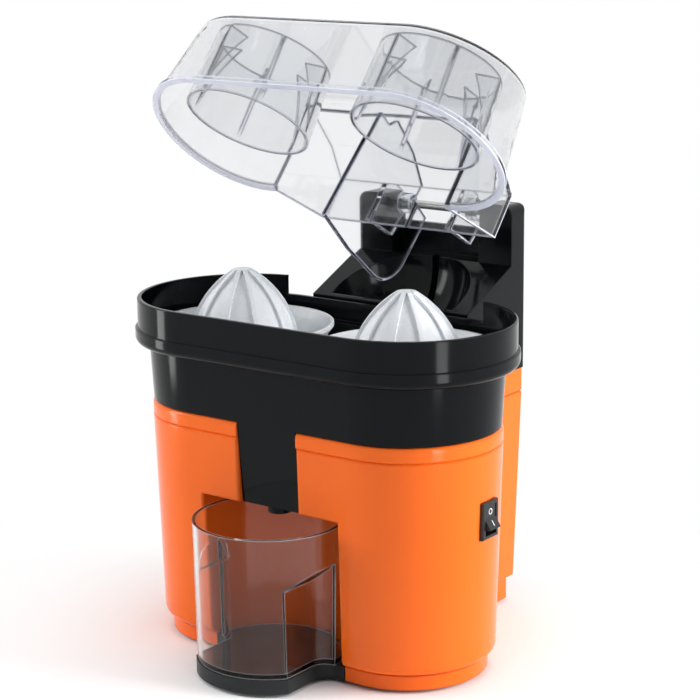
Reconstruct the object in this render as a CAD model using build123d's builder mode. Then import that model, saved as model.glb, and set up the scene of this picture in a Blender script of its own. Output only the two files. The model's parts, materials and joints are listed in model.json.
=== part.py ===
"""A double citrus press: two reaming cones over one juice tray, with a clear pressing lid.

Frame: X runs along the two cones, the front faces -Y and Z is up. The origin is on the
worktop, under the middle foot, midway between the two cones. All sizes are in millimetres.
The heights below are measured from the underside of the base plate, and each finished piece
is lifted by the height of the feet.
"""
import math
import os

from build123d import *

# Plan of the two round lobes
lobe_x = 57.0
wall = 2.5
slip = 0.3

# Orange body: lobes, rear column, plinth and seam
skirt_z = 9.0
seam_z = 129.8
seam_chamfer = 0.9
body_low_radius = 49.3
body_draft = 1.75
skirt_fillet = 4.5
column_half = 51.0
column_back = 122.4
column_corner = 2.0
column_draft = 1.5
column_skirt_z = 14.0
column_skirt_fillet = 1.5
plinth_radius = 45.0
plinth_neck = 0.8
plinth_column_half = 48.0
plinth_column_back = 119.4
cavity_step_z = 14.0
column_step_z = 19.0

# Bay for the juice cup, open at the front
bay_y = -52.0
bay_radius = 47.0
bay_top_z = 92.5
bay_edge_fillet = 1.5

# Base plate, its tongue under the cup, feet and screws
plate_height = 3.0
tongue_height = 8.0
tongue_radius = 42.2
tongue_y = -50.8
tongue_half = 32.6
tongue_front_y = -45.5
tongue_flare = 9.0
foot_radius = 8.0
foot_height = 2.0
foot_spots = [(-62, -27), (62, -27), (-26, 104), (26, 104), (0, 0)]
screw_radius = 1.5
screw_slip = 0.2
screw_head_radius = 3.2
screw_head_height = 2.0
base_boss_radius = 5.0
base_boss_top = 18.0
base_screw_spots = [(-88.5, -22), (88.5, -22), (-88.5, 22), (88.5, 22), (-41.2, 112.6), (41.2, 112.6)]
base_head_z = 0.2

# Deck above the seam
deck_z = 138.8
deck_radius = 53.0
deck_half = 54.0
deck_back = 125.4
deck_fillet = 3.0
riser_z = 144.5
deck_tube_radius = 8.0
deck_tube_top = 150.0
deck_tube_low = 131.0

# Juice collector
band_low_radius = 52.4
band_draft = 3.1
flange_z = 171.6
flange_radius = 62.1
flange_fillet = 4.0
flange_chamfer = 0.5
ledge_z = 180.5
rim_radius = 60.6
rim_z = 197.5
step_z = 174.5
dip_half = 70.0
dip_z = 186.0
dip_corner = 6.0
dip_spare = 4.0
collector_slot_y = 40.0
chimney_radius = 11.0
chimney_top = 160.0
chimney_bore = 8.5
chimney_bore_top = 157.5
chimney_gap = 1.0
shoulder_radius = 14.0
shoulder_z = 154.0

# Chute and spout at the front of the collector
chute_half = 20.3
chute_back = -33.5
chute_low_z = 92.3
chute_low_front = -48.6
chute_wall = 2.2
spout_y = -41.5
spout_low_z = 88.6
spout_radius = 6.5
spout_bore = 4.2

# Strainers
strainer_rim_radius = 52.0
strainer_rim_z = 181.0
strainer_skin = 1.8
strainer_floor_edge = 44.0
strainer_floor_rise = 6.0
strainer_lip = 3.2
strainer_lip_height = 6.0
strainer_lip_edge = 2.0
strainer_collar = 5.0
strainer_slots = 24
strainer_slot_inner = 19.0
strainer_slot_outer = 41.0
strainer_slot_width = 1.6

# Reamers and their shafts
reamer_base_z = 166.0
reamer_tip_z = 211.0
reamer_radius = 30.0
reamer_skin = 2.6
tip_radius = 3.0
dome_bulge = (0.76, 0.58)
reamer_ribs = 10
rib_height = 2.2
rib_width = 2.6
hub_radius = 7.5
hub_low_z = 162.5
shaft_radius = 4.0
shaft_low_z = 96.0
shaft_top_z = 190.0
running_gap = 0.05
bush_radius = 6.0
bush_stand = 2.0

# Gear train: pinion, reduction gear, two idlers and two reamer gears
plate_z = 98.0
gear_plate_height = 3.0
fine_module = 1.0
coarse_module = 1.5
pinion_teeth = 12
reduction_teeth = 60
drive_teeth = 16
idler_teeth = 16
reamer_teeth = 48
gear_low_z = 106.0
gear_top_z = 114.0
fine_low_z = 116.0
fine_top_z = 122.0
backlash = 0.3
pressure_angle = 20.0
tooth_depth = 1.05
tooth_height = 0.8
reduction_y = 26.0
idler_axle_radius = 2.5
reduction_axle_radius = 3.0
gear_hub = 9.0
hub_gap = 1.0
gear_holes = 6
gear_hole_radius = 6.5
gear_hole_reach = 22.0
plate_half = 66.0
plate_arm_inner = 46.0
plate_arm_front = -48.0
plate_front = -27.0
plate_middle = 48.0
plate_rear_half = 40.0
plate_back = 98.0
plate_corner = 3.0
stand_radius = 5.0
pillar_radius = 4.0
pillar_hole_depth = 14.0
plate_screw_reach = 12.0
pillar_spots = [(-57, -43.5), (57, -43.5), (-57, 43.5), (57, 43.5), (-34, 92), (34, 92), (0, -22)]

# Motor, hung under the gear plate
motor_shaft_radius = 3.0
motor_shaft_low = 34.0
motor_shaft_top = 124.0
armature_radius = 16.0
armature_slots = 12
armature_slot_depth = 5.5
armature_slot_width = 2.0
air_gap = 0.5
stack_low_z = 58.0
stack_top_z = 86.0
stator_half = 28.0
stator_corner = 3.0
bracket_radius = 36.0
bolt_half = 23.5
bolt_radius = 2.0
lower_bracket_z = 36.0
bracket_height = 4.0
upper_bracket_z = 93.0
commutator_radius = 8.5
commutator_low_z = 43.0
commutator_top_z = 53.0
bearing_radius = 8.0
coil_inner = 18.5
coil_outer = 24.0
coil_half = 13.0
coil_end = 4.0
brush_half = 3.0
brush_low_z = 45.0
brush_high_z = 51.0
brush_end = 20.0
holder_width = 12.0
holder_depth = 6.0
holder_cap = 2.0
bolt_head_height = 2.4

# Rear cover: ramp, fruit bowl, blade pocket and the two hinge ears
cover_half = 55.0
cover_front = 63.5
cover_back = 126.0
ramp_front_z = 187.0
ramp_slope = 0.444
tower_front = 110.0
ear_inner = 32.0
ear_top_z = 242.5
ear_hollow_top = 228.0
ear_fillet = 6.0
cover_corner = 3.0
web_front = 122.5
web_top_z = 225.0
bowl_y = 67.0
bowl_z = 205.0
bowl_radius = 46.0
pocket_half = 2.3
pocket_low_z = 158.5
pocket_back = 117.5
cover_boss_radius = 6.5
cover_boss_top = 156.0
cover_screw_spots = [(-46.5, 71), (46.5, 71), (-46.5, 117.3), (46.5, 117.3)]

# Hinge pin and lid, with the lid drawn closed and then swung open
pin_y = 117.0
pin_z = 236.5
pin_radius = 2.5
pin_half = 48.0
lid_open_angle = 46.0
lid_skin = 2.2
lid_rim_z = 188.5
lid_rim_s = 64.5
lid_rim_radius = 48.0
lid_bead = 1.5
lid_bead_height = 3.0
lid_tilt = 9.9
lid_top_s = 55.8
lid_top_radius = 47.9
lid_top_y = -4.2
lid_top_z = 243.4
lid_top_fillet = 4.0
lid_rear_half = 61.0
# Rear part of the lid, as (y, z): rim corner, foot, back, crest and front
rear_line = [(48.0, lid_rim_z), (98.5, 206.5), (95.5, 235.0), (72.0, 243.0), (30.0, 247.0)]
# Outline of each hinge arm, as (y, z), from its foot on the lid round the knuckle
arm_line = [(95.5, 207.5), (120.8, 215.0), (121.8, 232.0), (117.0, 242.5), (104.0, 241.0), (94.5, 234.5)]
lid_slot_y = 98.0
lid_slot_z = 200.0
lid_slot_depth = 12.0
lid_slot_height = 22.0
arm_outer = 30.5
arm_inner = 27.5
knuckle_inner = 19.5
knuckle_radius = 6.2
blade_half = 1.5
blade_front = 28.5
blade_back = 110.6
blade_low_z = 161.5
blade_toe_y = 60.0
blade_heel_y = 90.0
blade_heel_z = 165.0
blade_arc_z = 187.5
blade_arc_middle = (104.0, 172.5)
blade_tail_y = 92.0
blade_tail_z = 222.0
blade_root_y = 45.0
blade_shoulder_y = 40.0
blade_top_z = 236.0
blade_bevel = 1.1
cup_spacing = 57.3
cup_offset = -4.6
cup_drop = 45.0
cup_ring_radius = 36.8
cup_draft = 2.4
cup_ring_wall = 2.0
cup_ribs = 6
cup_rib_width = 1.6
cup_rib_turn = 15.0
cup_rib_foot = 1.5
cup_rib_reach = 20.0
cup_rib_bow = (30.0, 21.0)

# Juice cup
cup_y = -51.2
cup_low_radius = 41.2
cup_low_z = 8.4
cup_rim_z = 87.4
juice_cup_draft = 1.0
cup_skin = 2.2
grip_half = 31.7
grip_front = -92.0
grip_back = -47.0
grip_top_z = 58.0
grip_reach = 20.0
grip_far_z = 76.0
grip_corner = 9.0

# Rocker switch on the right-hand lobe
switch_y = 2.0
switch_z = 92.0
switch_seat_x = 107.5
bezel_depth = 3.3
bezel_width = 15.0
bezel_height = 21.0
housing_width = 12.0
housing_height = 18.2
housing_back_x = 92.0
opening_width = 10.6
opening_height = 16.8
opening_back_x = 99.5
bezel_fillet = 0.8
rocker_pivot_x = 106.0
rocker_half_width = 5.0
rocker_half_height = 6.5
rocker_face = 4.5
rocker_heel = 1.0
rocker_root = 3.0
rocker_root_half = 4.0
rocker_angle = 16.0
trunnion_radius = 1.2
trunnion_reach = 5.9
terminal_pitch = 6.0
terminal_size = (8.0, 4.8, 0.8)

# Cable gland at the foot of the rear column
gland_x = -28.0
gland_z = 25.0
gland_seat_y = 122.0
gland_flange_radius = 7.5
gland_flange_height = 2.2
gland_radius = 5.0
gland_bore = 3.2
gland_depth = 6.0

ON_BASE = (Align.CENTER, Align.CENTER, Align.MIN)
sides = {"left": -1, "right": 1}
tall = 300.0
near_enough = 0.1

os.makedirs("parts", exist_ok=True)


def save(piece, name):
    """Lifts one finished piece onto the feet, labels it and writes its file."""
    lifted = piece.moved(Location((0, 0, foot_height)))
    lifted.label = name
    export_step(lifted, f"parts/{name}.step")


def stadium(z, radius, half=lobe_x):
    """A stadium about the two lobe centres, on the level z."""
    with BuildSketch(Plane.XY.offset(z)) as plan:
        SlotCenterToCenter(2 * half, 2 * radius)
    return plan.sketch


def column(z, half_width, back, corner=column_corner):
    """The rear column's plan, from the middle of the lobes back, on the level z."""
    with BuildSketch(Plane.XY.offset(z)) as plan:
        with Locations((0, back / 2)):
            RectangleRounded(2 * half_width, back, corner)
    return plan.sketch


def bay_plan(z, radius):
    """The cup bay's plan: a half circle at the back, open to the front."""
    with BuildSketch(Plane.XY.offset(z)) as plan:
        with Locations((0, bay_y)):
            Circle(radius)
        with Locations((0, bay_y - radius)):
            Rectangle(2 * radius, 2 * radius)
    return plan.sketch


def ring(outer, inner, low, high, x=0.0, y=0.0):
    """A plain upright ring."""
    with BuildPart() as piece:
        with Locations((x, y, low)):
            Cylinder(outer, high - low, align=ON_BASE)
            Cylinder(inner, high - low, align=ON_BASE, mode=Mode.SUBTRACT)
    return piece.part


def rod(radius, low, high, x=0.0, y=0.0):
    """A plain upright rod with eased ends."""
    with BuildPart() as piece:
        with Locations((x, y, low)):
            Cylinder(radius, high - low, align=ON_BASE)
        chamfer(piece.edges().filter_by(GeomType.CIRCLE), radius / 8)
    return piece.part


# Orange body shell
with BuildPart() as lobe_block:
    extrude(stadium(skirt_z, body_low_radius), amount=seam_z - skirt_z, taper=-body_draft)
    fillet(lobe_block.faces().sort_by(Axis.Z)[0].edges(), skirt_fillet)
    chamfer(lobe_block.faces().sort_by(Axis.Z)[-1].edges(), seam_chamfer)
with BuildPart() as column_block:
    with BuildSketch(Plane.XY.offset(column_skirt_z)):
        with Locations((0, column_back / 2)):
            Rectangle(2 * column_half, column_back)
    extrude(amount=seam_z - column_skirt_z, taper=-column_draft)
    corners = [e for e in column_block.edges() if abs(e.tangent_at(0.5).Z) > 0.9]
    fillet(corners, column_corner)
    fillet(column_block.faces().sort_by(Axis.Z)[0].edges(), column_skirt_fillet)
    chamfer(column_block.faces().sort_by(Axis.Z)[-1].edges(), seam_chamfer)
with BuildPart() as body_block:
    add(lobe_block.part)
    add(column_block.part)
    extrude(stadium(0, plinth_radius), amount=skirt_z - plinth_neck)
    extrude(column(0, plinth_column_half, plinth_column_back), amount=column_skirt_z - plinth_neck)
    extrude(stadium(0, plinth_radius - plinth_neck), amount=cavity_step_z)
    extrude(column(0, plinth_column_half - plinth_neck, plinth_column_back - plinth_neck),
            amount=column_step_z)

with BuildPart() as bay_wall:
    add(body_block.part)
    extrude(bay_plan(plate_height + slip, bay_radius + wall),
            amount=bay_top_z + wall - plate_height - slip, mode=Mode.INTERSECT)

pocket_half_width = chute_half + slip
pocket_back_y = chute_back + slip
with BuildPart() as chute_pocket:
    add(body_block.part)
    with Locations((0, pocket_back_y + wall, bay_top_z)):
        Box(2 * (pocket_half_width + wall), tall, seam_z - bay_top_z - seam_chamfer,
            align=(Align.CENTER, Align.MAX, Align.MIN), mode=Mode.INTERSECT)



def opening_edges(edges):
    """The edges of the cup bay's mouth and the chute pocket on the flat front of the body."""
    chosen = []
    for edge in edges:
        middle = edge.center()
        front = -(body_low_radius + math.tan(math.radians(body_draft)) * (middle.Z - skirt_z))
        on_front = abs(middle.Y - front) < seam_chamfer / 2
        on_side = min(abs(abs(middle.X) - bay_radius), abs(abs(middle.X) - pocket_half_width)) < slip / 2
        on_top = abs(middle.Z - bay_top_z) < slip / 2
        if on_front and (on_side or on_top):
            chosen.append(edge)
    return chosen


cavity_growth = math.tan(math.radians(body_draft)) * (cavity_step_z - skirt_z)
column_growth = math.tan(math.radians(column_draft)) * (column_step_z - column_skirt_z)
with BuildPart() as body_shell:
    add(body_block.part)
    extrude(stadium(0, plinth_radius - wall), amount=cavity_step_z, mode=Mode.SUBTRACT)
    extrude(column(0, plinth_column_half - wall, plinth_column_back - wall), amount=column_step_z,
            mode=Mode.SUBTRACT)
    extrude(stadium(cavity_step_z, body_low_radius + cavity_growth - wall), amount=seam_z - cavity_step_z,
            taper=-body_draft, mode=Mode.SUBTRACT)
    extrude(column(column_step_z, column_half + column_growth - wall, column_back + column_growth - wall),
            amount=seam_z - column_step_z, taper=-column_draft, mode=Mode.SUBTRACT)
    add(bay_wall.part)
    add(chute_pocket.part)
    for x, y in base_screw_spots:
        with Locations((x, y, plate_height)):
            Cylinder(base_boss_radius, base_boss_top - plate_height, align=ON_BASE)
            Cylinder(screw_radius, base_boss_top - plate_height, align=ON_BASE, mode=Mode.SUBTRACT)
    extrude(bay_plan(-1, bay_radius), amount=bay_top_z + 1, mode=Mode.SUBTRACT)
    with Locations((0, pocket_back_y, bay_top_z - 1)):
        Box(2 * pocket_half_width, tall, tall, align=(Align.CENTER, Align.MAX, Align.MIN), mode=Mode.SUBTRACT)
    fillet(opening_edges(body_shell.edges()), bay_edge_fillet)
    with Locations((switch_seat_x, switch_y, switch_z)):
        Box(tall, bezel_width + slip, bezel_height + slip, align=(Align.MIN, Align.CENTER, Align.CENTER),
            mode=Mode.SUBTRACT)
        Box(wall * 4, housing_width + slip, housing_height + slip, mode=Mode.SUBTRACT)
    with Locations(Plane((gland_x, gland_seat_y, gland_z), x_dir=(1, 0, 0), z_dir=(0, 1, 0))):
        Cylinder(gland_flange_radius + slip, wall * 4, align=ON_BASE, mode=Mode.SUBTRACT)
        Cylinder(gland_radius, wall * 4, mode=Mode.SUBTRACT)
save(body_shell.part, "body_shell")

# Base plate with the tongue that the cup stands on
with BuildPart() as base_plate:
    extrude(stadium(0, plinth_radius - wall - slip), amount=plate_height)
    extrude(column(0, plinth_column_half - wall - slip, plinth_column_back - wall - slip),
            amount=plate_height)
    with BuildSketch():
        with Locations((0, bay_y)):
            Circle(bay_radius - slip)
        with Locations((0, tongue_front_y)):
            Rectangle(tall, tall, align=(Align.CENTER, Align.MAX), mode=Mode.SUBTRACT)
    extrude(amount=tongue_height)
    with BuildSketch():
        with Locations((0, tongue_y)):
            Circle(tongue_radius)
        Rectangle(2 * tongue_half, tall, mode=Mode.INTERSECT)
    extrude(amount=tongue_height)
    flares = [e for e in base_plate.edges().filter_by(Axis.Z)
              if abs(e.center().Y - tongue_front_y) < near_enough
              and abs(abs(e.center().X) - tongue_half) < near_enough]
    fillet(flares, tongue_flare)
    for x, y in base_screw_spots:
        with Locations((x, y, 0)):
            Cylinder(screw_radius + screw_slip, plate_height, align=ON_BASE, mode=Mode.SUBTRACT)
            Cylinder(screw_head_radius + screw_slip, screw_head_height, align=ON_BASE, mode=Mode.SUBTRACT)
save(base_plate.part, "base_plate")

with BuildPart() as rubber_feet:
    with Locations([(x, y, -foot_height) for x, y in foot_spots]):
        Cylinder(foot_radius, foot_height, align=ON_BASE)
    fillet(rubber_feet.faces().group_by(Axis.Z)[0].edges(), foot_height / 3)
save(rubber_feet.part, "rubber_feet")


def screws(spots, head_low, head_high, shank_high):
    """A group of pan-head screws, heads down, with a cross recess in each head."""
    with BuildPart() as group:
        with Locations([(x, y, head_low) for x, y in spots]):
            Cylinder(screw_head_radius, head_high - head_low, align=ON_BASE)
        with Locations([(x, y, head_high) for x, y in spots]):
            Cylinder(screw_radius, shank_high - head_high, align=ON_BASE)
        recess = screw_head_radius / 4
        with Locations([(x, y, head_low) for x, y in spots]):
            Box(screw_head_radius, recess, recess * 2, mode=Mode.SUBTRACT)
            Box(recess, screw_head_radius, recess * 2, mode=Mode.SUBTRACT)
    return group.part


save(screws(base_screw_spots, base_head_z, screw_head_height, base_boss_top - wall), "base_screws")


def behind(front):
    """The whole space behind the level y = front."""
    with BuildPart() as space:
        with Locations((0, front, 0)):
            Box(2 * tall, tall, 2 * tall, align=(Align.CENTER, Align.MIN, Align.CENTER))
    return space.part


# Deck above the seam, with the two shaft tubes, the rear riser and the pillars for the gear plate
deck_low = deck_z - wall
riser_low = riser_z - wall
with BuildPart() as deck_lobes:
    extrude(stadium(seam_z, deck_radius), amount=deck_z - seam_z)
    fillet(deck_lobes.faces().sort_by(Axis.Z)[-1].edges(), deck_fillet)
    chamfer(deck_lobes.faces().sort_by(Axis.Z)[0].edges(), seam_chamfer)
with BuildPart() as deck_column:
    extrude(column(seam_z, deck_half, deck_back), amount=deck_z - seam_z)
    chamfer(deck_column.faces().sort_by(Axis.Z)[0].edges(), seam_chamfer)
with BuildPart() as deck_riser:
    extrude(column(deck_low, deck_half, deck_back), amount=riser_z - deck_low)
    add(behind(cover_front), mode=Mode.INTERSECT)
with BuildPart() as riser_hollow:
    extrude(column(seam_z, deck_half - wall, deck_back - wall), amount=riser_low - seam_z)
    add(behind(cover_front + wall), mode=Mode.INTERSECT)
with BuildPart() as top_deck:
    add(deck_lobes.part)
    add(deck_column.part)
    add(deck_riser.part)
    extrude(stadium(seam_z, deck_radius - wall), amount=deck_low - seam_z, mode=Mode.SUBTRACT)
    extrude(column(seam_z, deck_half - wall, deck_back - wall), amount=deck_low - seam_z, mode=Mode.SUBTRACT)
    add(riser_hollow.part, mode=Mode.SUBTRACT)
    with Locations((-lobe_x, 0, deck_tube_low), (lobe_x, 0, deck_tube_low)):
        Cylinder(deck_tube_radius, deck_tube_top - deck_tube_low, align=ON_BASE)
        Cylinder(bush_radius, deck_tube_top - deck_tube_low, align=ON_BASE, mode=Mode.SUBTRACT)
    plate_top = plate_z + gear_plate_height
    for x, y in pillar_spots:
        pillar_top = riser_low if y > cover_front else deck_low
        with Locations((x, y, plate_top)):
            Cylinder(pillar_radius, pillar_top - plate_top, align=ON_BASE)
            Cylinder(screw_radius, pillar_hole_depth, align=ON_BASE, mode=Mode.SUBTRACT)
    with Locations([(x, y, riser_low) for x, y in cover_screw_spots]):
        Cylinder(screw_radius + screw_slip, wall, align=ON_BASE, mode=Mode.SUBTRACT)
    with Locations((0, pocket_back_y, seam_z - 1)):
        Box(2 * pocket_half_width, tall, tall, align=(Align.CENTER, Align.MAX, Align.MIN), mode=Mode.SUBTRACT)
save(top_deck.part, "top_deck")

# Black juice collector with its chute, spout and two chimneys
with BuildPart() as flange_ring:
    extrude(stadium(flange_z, flange_radius), amount=ledge_z - flange_z)
    fillet(flange_ring.faces().sort_by(Axis.Z)[0].edges(), flange_fillet)
    chamfer(flange_ring.faces().sort_by(Axis.Z)[-1].edges(), flange_chamfer)
with BuildPart() as rim_ring:
    extrude(stadium(ledge_z - 1, rim_radius), amount=rim_z - ledge_z + 1)
    fillet(rim_ring.faces().sort_by(Axis.Z)[-1].edges(), wall / 3)

floor_z = deck_z + wall
floor_radius = band_low_radius + wall * math.tan(math.radians(band_draft)) - wall
with BuildPart() as juice_collector:
    extrude(stadium(deck_z, band_low_radius), amount=flange_z - deck_z + 1, taper=-band_draft)
    add(flange_ring.part)
    add(rim_ring.part)
    extrude(stadium(floor_z, floor_radius), amount=step_z + 1 - floor_z, taper=-band_draft,
            mode=Mode.SUBTRACT)
    extrude(stadium(step_z, rim_radius - wall), amount=tall, mode=Mode.SUBTRACT)
    with Locations((-lobe_x, 0, deck_z), (lobe_x, 0, deck_z)):
        Cylinder(shoulder_radius, shoulder_z - deck_z, align=ON_BASE)
        Cylinder(chimney_radius, chimney_top - deck_z, align=ON_BASE)
        Cylinder(chimney_bore, chimney_bore_top - deck_z, align=ON_BASE, mode=Mode.SUBTRACT)
        Cylinder(shaft_radius + chimney_gap, chimney_top - deck_z, align=ON_BASE, mode=Mode.SUBTRACT)
    with BuildSketch(Plane.XZ):
        with Locations((0, dip_z)):
            RectangleRounded(2 * dip_half, 2 * (rim_z - dip_z + dip_spare), dip_corner)
        with Locations((0, dip_z)):
            Rectangle(tall, tall, align=(Align.CENTER, Align.MAX), mode=Mode.SUBTRACT)
    extrude(amount=-tall, mode=Mode.SUBTRACT)
    with Locations((0, collector_slot_y, pocket_low_z)):
        Box(2 * pocket_half, tall, tall, align=(Align.CENTER, Align.MIN, Align.MIN), mode=Mode.SUBTRACT)
    with BuildSketch(Plane.YZ):
        with BuildLine():
            Polyline((chute_back, chute_low_z), (chute_low_front, chute_low_z), (-band_low_radius, deck_z),
                     (-band_low_radius, deck_z + 1), (chute_back, deck_z + 1), close=True)
        make_face()
    extrude(amount=chute_half, both=True)
    with BuildSketch(Plane.YZ):
        with BuildLine():
            Polyline((chute_back - chute_wall, chute_low_z + chute_wall),
                     (chute_low_front + chute_wall, chute_low_z + chute_wall),
                     (-band_low_radius + 2 * chute_wall, floor_z + 1),
                     (chute_back - chute_wall, floor_z + 1), close=True)
        make_face()
    extrude(amount=chute_half - chute_wall, both=True, mode=Mode.SUBTRACT)
    with Locations((0, spout_y, spout_low_z)):
        Cylinder(spout_radius, chute_low_z - spout_low_z + chute_wall, align=ON_BASE)
        Cylinder(spout_bore, chute_low_z - spout_low_z + 2 * chute_wall, align=ON_BASE, mode=Mode.SUBTRACT)
save(juice_collector.part, "juice_collector")


def strainer(x):
    """A slotted sieve that hangs round one chimney and rests on its shoulder."""
    low = shoulder_z
    throat = chimney_radius + slip
    collar_z = low + strainer_collar
    foot = shoulder_radius + strainer_skin
    lip = strainer_rim_radius - strainer_lip
    lip_z = strainer_rim_z - strainer_lip_height
    edge = strainer_floor_edge
    edge_z = low + strainer_floor_rise
    inner_rim = strainer_rim_radius - strainer_skin
    with BuildPart() as piece:
        with BuildSketch(Plane.XZ):
            with BuildLine():
                Polyline((throat, low), (foot, low), (edge, edge_z), (lip, lip_z),
                         (strainer_rim_radius, strainer_rim_z - strainer_lip_edge),
                         (strainer_rim_radius, strainer_rim_z), (inner_rim, strainer_rim_z),
                         (lip - strainer_skin, lip_z + strainer_skin / 2),
                         (edge - strainer_skin, edge_z + strainer_skin), (foot, low + strainer_skin),
                         (throat + strainer_skin, collar_z), (throat, collar_z), close=True)
            make_face()
        revolve(axis=Axis.Z)
        with BuildSketch(Plane.XY.offset(low - 1)):
            with PolarLocations((strainer_slot_inner + strainer_slot_outer) / 2, strainer_slots):
                SlotOverall(strainer_slot_outer - strainer_slot_inner, strainer_slot_width)
        extrude(amount=strainer_floor_rise + strainer_skin + 2, mode=Mode.SUBTRACT)
    return piece.part.moved(Location((x, 0, 0)))


def dome(radius, tip_z, tip_radius, left):
    """Section of a reamer's dome, to the right of the axis, or mirrored to both sides of it."""
    height = tip_z - reamer_base_z
    bulge = (radius * dome_bulge[0], reamer_base_z + height * dome_bulge[1])
    with BuildSketch(Plane.XZ) as section:
        with BuildLine():
            Line((0, reamer_base_z), (radius, reamer_base_z))
            ThreePointArc((radius, reamer_base_z), bulge, (tip_radius, tip_z))
            Line((tip_radius, tip_z), (0, tip_z))
            Line((0, tip_z), (0, reamer_base_z))
        make_face()
        if left:
            mirror(about=Plane.YZ)
    return section.sketch


def reamer(x):
    """A ribbed juicing cone, hollow, with a hub that sits on its shaft."""
    hollow_tip_z = reamer_tip_z - 4 * reamer_skin
    with BuildPart() as piece:
        revolve(dome(reamer_radius, reamer_tip_z, tip_radius, False), axis=Axis.Z)
        rib = dome(reamer_radius + rib_height, reamer_tip_z + rib_height / 2, tip_radius + rib_height, True)
        for turn in range(reamer_ribs // 2):
            extrude(rib.rotate(Axis.Z, 360 / reamer_ribs * turn), amount=rib_width / 2, both=True)
        revolve(dome(reamer_radius - reamer_skin, hollow_tip_z, tip_radius, False), axis=Axis.Z,
                mode=Mode.SUBTRACT)
        with Locations((0, 0, hub_low_z)):
            Cylinder(hub_radius, hollow_tip_z + reamer_skin - hub_low_z, align=ON_BASE)
            Cylinder(shaft_radius, shaft_top_z - hub_low_z, align=ON_BASE, mode=Mode.SUBTRACT)
    return piece.part.moved(Location((x, 0, 0)))


for name, side in sides.items():
    x = side * lobe_x
    save(strainer(x), f"strainer_{name}")
    save(reamer(x), f"reamer_{name}")
    save(rod(shaft_radius, shaft_low_z, shaft_top_z, x), f"reamer_shaft_{name}")
    bush_bore = shaft_radius + running_gap
    save(ring(bush_radius, bush_bore, deck_tube_low, deck_tube_top, x), f"upper_bush_{name}")
    save(ring(bush_radius, bush_bore, shaft_low_z, plate_top + bush_stand, x), f"lower_bush_{name}")
    save(ring(deck_tube_radius - slip, bush_bore + running_gap, deck_tube_top, deck_tube_top + wall, x),
         f"shaft_seal_{name}")


# Gears
def involute_half_angle(radius, base_radius):
    """Angle of the involute at a radius, from where it leaves the base circle."""
    if radius <= base_radius:
        return 0.0
    slope = math.sqrt((radius / base_radius) ** 2 - 1)
    return slope - math.atan(slope)


def gear_plan(z, teeth, module, x, y, phase):
    """A spur gear's outline, with one tooth centred on the angle phase (radians)."""
    pitch = module * teeth / 2
    base = pitch * math.cos(math.radians(pressure_angle))
    root = pitch - tooth_depth * module
    tip = pitch + tooth_height * module
    half_tooth = (math.pi * module / 2 - backlash / 2) / pitch / 2
    at_pitch = involute_half_angle(pitch, base)
    points = []
    for tooth in range(teeth):
        middle = phase + 2 * math.pi * tooth / teeth
        flank = [(r, half_tooth + at_pitch - involute_half_angle(r, base)) for r in (root, pitch, tip)]
        for r, half in flank:
            points.append((x + r * math.cos(middle - half), y + r * math.sin(middle - half)))
        for r, half in reversed(flank):
            points.append((x + r * math.cos(middle + half), y + r * math.sin(middle + half)))
    with BuildSketch(Plane.XY.offset(z)) as plan:
        with BuildLine():
            Polyline(*points, close=True)
        make_face()
    return plan.sketch


def meshed_phase(driver_spot, driver_teeth, driver_phase, spot, teeth):
    """The phase at which a gear's gap faces the driver's tooth on their line of centres."""
    line = math.atan2(spot[1] - driver_spot[1], spot[0] - driver_spot[0])
    shift = (driver_phase - line) * driver_teeth / 2 + math.pi / 2
    return line + math.pi - shift * 2 / teeth


motor_y = reduction_y + fine_module * (pinion_teeth + reduction_teeth) / 2
idler_reach = coarse_module * (drive_teeth + idler_teeth) / 2
reamer_reach = coarse_module * (idler_teeth + reamer_teeth) / 2
centre_line = math.hypot(lobe_x, reduction_y)
lift = math.acos((idler_reach ** 2 + centre_line ** 2 - reamer_reach ** 2) / (2 * idler_reach * centre_line))
idler_angle = lift - math.atan2(reduction_y, lobe_x)
idler_x = idler_reach * math.cos(idler_angle)
idler_y = reduction_y + idler_reach * math.sin(idler_angle)

pinion_phase = meshed_phase((0, reduction_y), reduction_teeth, 0.0, (0, motor_y), pinion_teeth)
with BuildPart() as reduction_gear:
    extrude(gear_plan(fine_low_z, reduction_teeth, fine_module, 0, reduction_y, 0.0),
            amount=fine_top_z - fine_low_z)
    extrude(gear_plan(gear_low_z, drive_teeth, coarse_module, 0, reduction_y, 0.0),
            amount=gear_top_z - gear_low_z)
    with Locations((0, reduction_y, gear_low_z - hub_gap)):
        Cylinder(gear_hub, fine_top_z - gear_low_z + 2 * hub_gap, align=ON_BASE)
        Cylinder(reduction_axle_radius + running_gap, tall, mode=Mode.SUBTRACT)
save(reduction_gear.part, "reduction_gear")

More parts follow.
